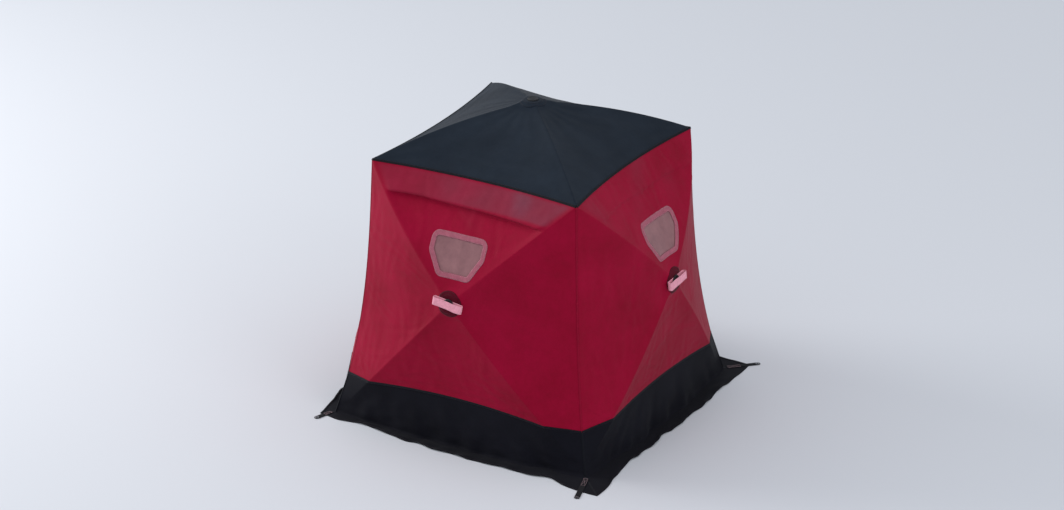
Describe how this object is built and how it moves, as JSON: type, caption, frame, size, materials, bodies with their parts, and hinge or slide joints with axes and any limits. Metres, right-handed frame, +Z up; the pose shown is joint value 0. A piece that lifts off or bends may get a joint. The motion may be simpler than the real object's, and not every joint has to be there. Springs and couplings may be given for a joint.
{
  "type": "pop-up ice fishing shelter",
  "caption": "Square pop-up ice fishing shelter of stretched cloth on sprung poles, with wall hubs that stand out, clear windows, a zipped door and a snow skirt.",
  "frame": {"origin": "on the ground at the middle of the base", "axes": "+Z up; -Y towards the front wall, +X towards the right wall; the door is in the back wall, +Y"},
  "size_m": [1.8341, 2.0284, 1.7083],
  "materials": {
    "wall_cloth": "coated woven cloth, slight sheen",
    "roof_cloth": "coated woven cloth, slight sheen",
    "skirt_cloth": "coated woven cloth",
    "clear_vinyl": "clear, slightly frosted",
    "border_tape": "pale welded tape",
    "zipper_tape": "matt tape with moulded teeth",
    "moulded_plastic": "moulded, fine grain",
    "pale_webbing": "woven reflective webbing",
    "fibreglass": "smooth pultruded rod",
    "black_webbing": "woven webbing"
  },
  "bodies": {
    "root": {"wall_front": "wall_cloth", "wall_right": "wall_cloth", "wall_back": "wall_cloth", "wall_left": "wall_cloth", "roof_cover": "roof_cloth", "skirt_front": "skirt_cloth", "skirt_right": "skirt_cloth", "skirt_back": "skirt_cloth", "skirt_left": "skirt_cloth", "window_front": "clear_vinyl", "window_right": "clear_vinyl", "window_back": "clear_vinyl", "window_left": "clear_vinyl", "window_border_front": "border_tape", "window_border_right": "border_tape", "window_border_back": "border_tape", "window_border_left": "border_tape", "door_panel": "wall_cloth", "door_zipper": "zipper_tape", "hub_front": "moulded_plastic", "hub_right": "moulded_plastic", "hub_back": "moulded_plastic", "hub_left": "moulded_plastic", "hub_roof": "moulded_plastic", "hub_cap_front": "moulded_plastic", "hub_cap_right": "moulded_plastic", "hub_cap_back": "moulded_plastic", "hub_cap_left": "moulded_plastic", "hub_cap_roof": "moulded_plastic", "pull_loop_front": "pale_webbing", "pull_loop_right": "pale_webbing", "pull_loop_back": "pale_webbing", "pull_loop_left": "pale_webbing", "pole_sockets": "moulded_plastic", "poles_front": "fibreglass", "poles_right": "fibreglass", "poles_back": "fibreglass", "poles_left": "fibreglass", "poles_roof": "fibreglass", "corner_boots": "moulded_plastic", "corner_feet": "moulded_plastic", "anchor_strap_1": "black_webbing", "anchor_strap_2": "black_webbing", "anchor_strap_3": "black_webbing", "anchor_strap_4": "black_webbing"}
  },
  "joints": []
}
